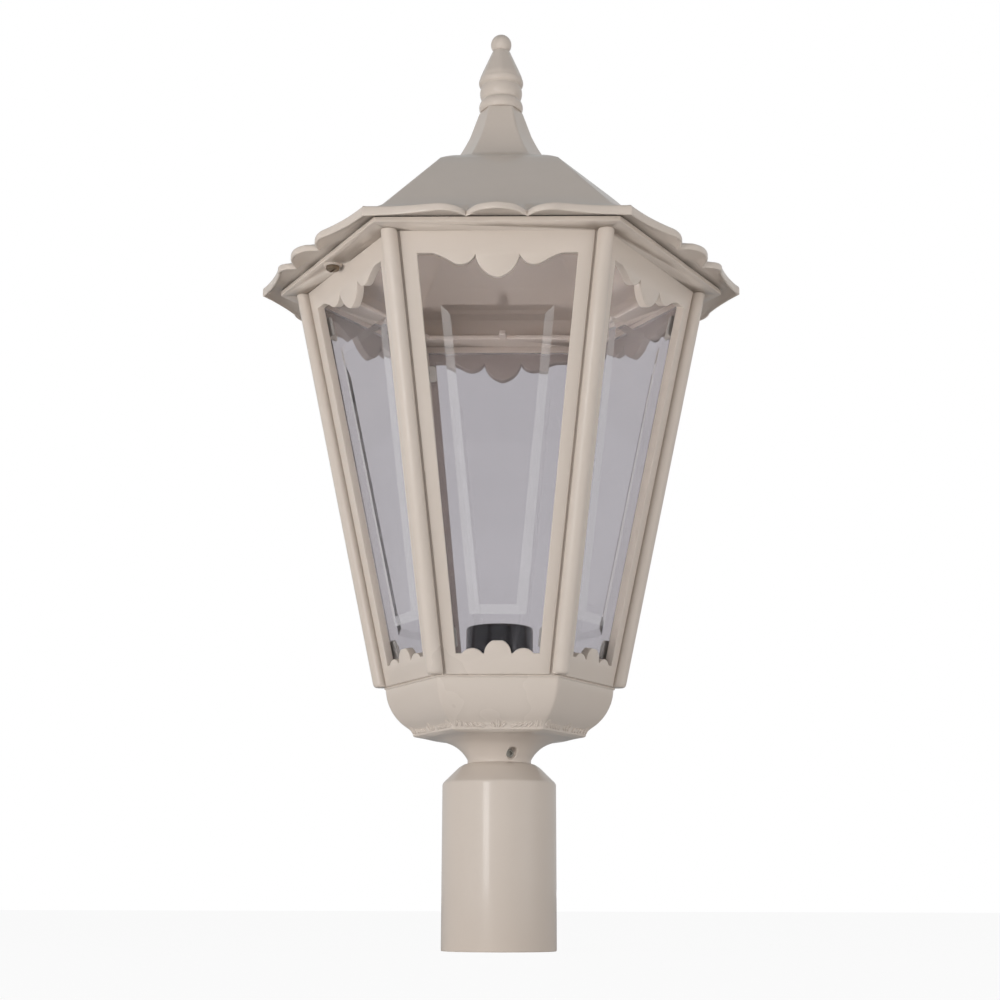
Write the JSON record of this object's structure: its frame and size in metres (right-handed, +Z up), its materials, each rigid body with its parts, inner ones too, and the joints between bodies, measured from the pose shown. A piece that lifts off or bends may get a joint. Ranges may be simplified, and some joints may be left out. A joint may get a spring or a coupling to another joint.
{
  "type": "post top lantern",
  "caption": "Hexagonal post top garden lantern with leaning glazed sides, lift-off roof, finial and a collar that slips over a 60 mm post.",
  "frame": {"origin": "centre of the post collar's bottom rim", "axes": "+Z up along the post; a flat side of the hexagon faces -Y and two corners lie on the X axis"},
  "size_m": [0.3008, 0.2808, 0.58],
  "materials": {
    "body_paint": "gloss enamel",
    "clear_glass": "clear polished",
    "zinc_steel": "zinc plated",
    "black_bakelite": "gloss",
    "white_ceramic": "satin",
    "brass_parts": "bright",
    "terminal_plastic": "matte",
    "lead_insulation": "satin",
    "gasket_rubber": "matte"
  },
  "bodies": {
    "collar": {"post_collar": "body_paint"},
    "collar_screw_right": {"collar_screw_right": "zinc_steel"},
    "collar_screw_left": {"collar_screw_left": "zinc_steel"},
    "head": {"base_bowl": "body_paint", "rail_screws": "zinc_steel", "corner_clamps": "zinc_steel", "clamp_screws": "zinc_steel", "top_flange": "body_paint", "flange_screws": "zinc_steel", "roof_gasket": "gasket_rubber", "cable_nipple": "zinc_steel", "floor_lock_nut": "zinc_steel", "wiring_strip": "zinc_steel", "strip_lock_nut": "zinc_steel", "lampholder_base": "black_bakelite", "lampholder_skirt": "black_bakelite", "lampholder_core": "white_ceramic", "lampholder_thread": "brass_parts", "lampholder_contact": "brass_parts", "terminal_block": "terminal_plastic", "terminal_screws": "brass_parts", "lampholder_leads": "lead_insulation", "earth_screw": "brass_parts", "side_frame_front": "body_paint", "side_frame_front_right": "body_paint", "side_frame_back_right": "body_paint", "side_frame_back": "body_paint", "side_frame_back_left": "body_paint", "side_frame_front_left": "body_paint", "glass_pane_front": "clear_glass", "glass_pane_front_right": "clear_glass", "glass_pane_back_right": "clear_glass", "glass_pane_back": "clear_glass", "glass_pane_back_left": "clear_glass", "glass_pane_front_left": "clear_glass", "corner_post_front_right": "body_paint", "corner_post_right": "body_paint", "corner_post_back_right": "body_paint", "corner_post_back_left": "body_paint", "corner_post_left": "body_paint", "corner_post_front_left": "body_paint"},
    "neck_screw": {"neck_screw": "zinc_steel"},
    "roof": {"roof_canopy": "body_paint", "finial": "body_paint", "finial_stud": "zinc_steel", "finial_nut": "zinc_steel", "finial_washer": "zinc_steel"},
    "roof_screw_front": {"roof_screw_front": "zinc_steel"},
    "roof_screw_back": {"roof_screw_back": "zinc_steel"}
  },
  "joints": [
    {"name": "head_swivel", "type": "hinge", "parent": "collar", "child": "head", "pos_m": [0, 0, 0.1065], "axis": [0, 0, 1], "range_deg": [-180, 180]},
    {"name": "collar_screw_right_feed", "type": "slide", "parent": "collar", "child": "collar_screw_right", "axis": [-1, 0, 0], "range_m": [0, 0.004]},
    {"name": "collar_screw_left_feed", "type": "slide", "parent": "collar", "child": "collar_screw_left", "axis": [1, 0, 0], "range_m": [0, 0.004]},
    {"name": "neck_screw_feed", "type": "slide", "parent": "head", "child": "neck_screw", "axis": [0.3746, -0.9272, 0], "range_m": [0, 0.008]},
    {"name": "roof_lift", "type": "slide", "parent": "head", "child": "roof", "axis": [0, 0, 1], "range_m": [0, 0.12]},
    {"name": "roof_screw_front_feed", "type": "slide", "parent": "head", "child": "roof_screw_front", "axis": [0, 0, -1], "range_m": [0, 0.014]},
    {"name": "roof_screw_back_feed", "type": "slide", "parent": "head", "child": "roof_screw_back", "axis": [0, 0, -1], "range_m": [0, 0.014]}
  ]
}
